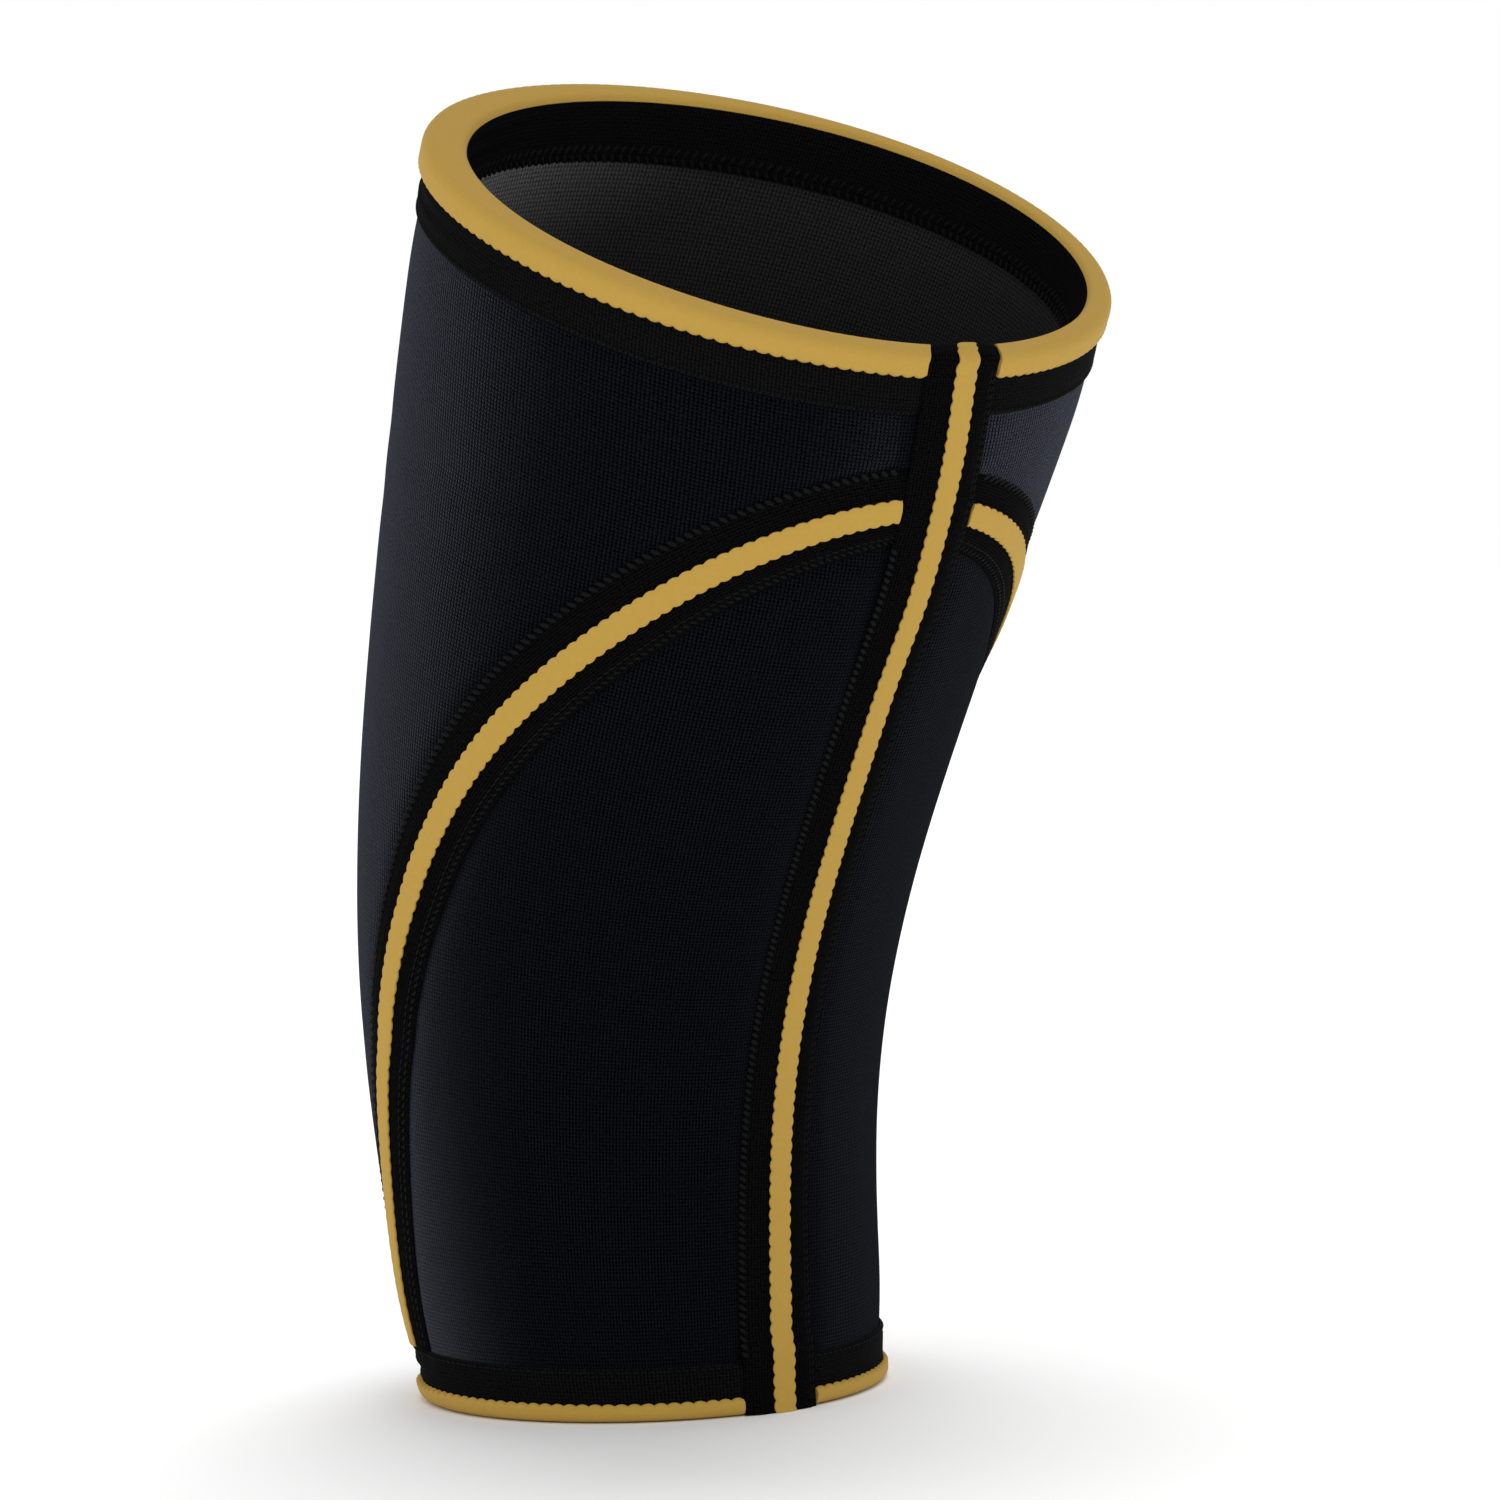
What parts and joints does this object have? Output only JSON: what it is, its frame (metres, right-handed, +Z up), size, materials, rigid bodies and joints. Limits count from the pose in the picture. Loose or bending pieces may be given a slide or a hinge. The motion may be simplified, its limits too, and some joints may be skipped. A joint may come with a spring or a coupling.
{
  "type": "knee sleeve",
  "caption": "Bent tubular knee sleeve of padded foam with an arched seam behind the knee, taped seams, folded hem bindings and gold edge trims.",
  "frame": {"origin": "centre of the bounding box at the floor, under the calf rim and the leaning thigh end", "axes": "+Z up from the calf rim to the thigh rim; -Y the front of the knee, +Y the back seam; +X the wearer's left"},
  "size_m": [0.1726, 0.2052, 0.322],
  "materials": {
    "jersey_foam": "fine knitted jersey over foam, near-black navy, soft sheen",
    "black_tape": "black elastic knitted tape, matt",
    "gold_thread": "flat gold thread trim with scalloped edges, matt"
  },
  "bodies": {
    "root": {"front_panel": "jersey_foam", "calf_panel_left": "jersey_foam", "calf_panel_right": "jersey_foam", "arch_tape_left": "black_tape", "arch_tape_right": "black_tape", "arch_stripe_left": "gold_thread", "arch_stripe_right": "gold_thread", "thigh_binding": "black_tape", "calf_binding": "black_tape", "thigh_edge_trim": "gold_thread", "calf_edge_trim": "gold_thread", "back_seam_tape": "black_tape", "back_seam_stripe": "gold_thread"}
  },
  "joints": []
}
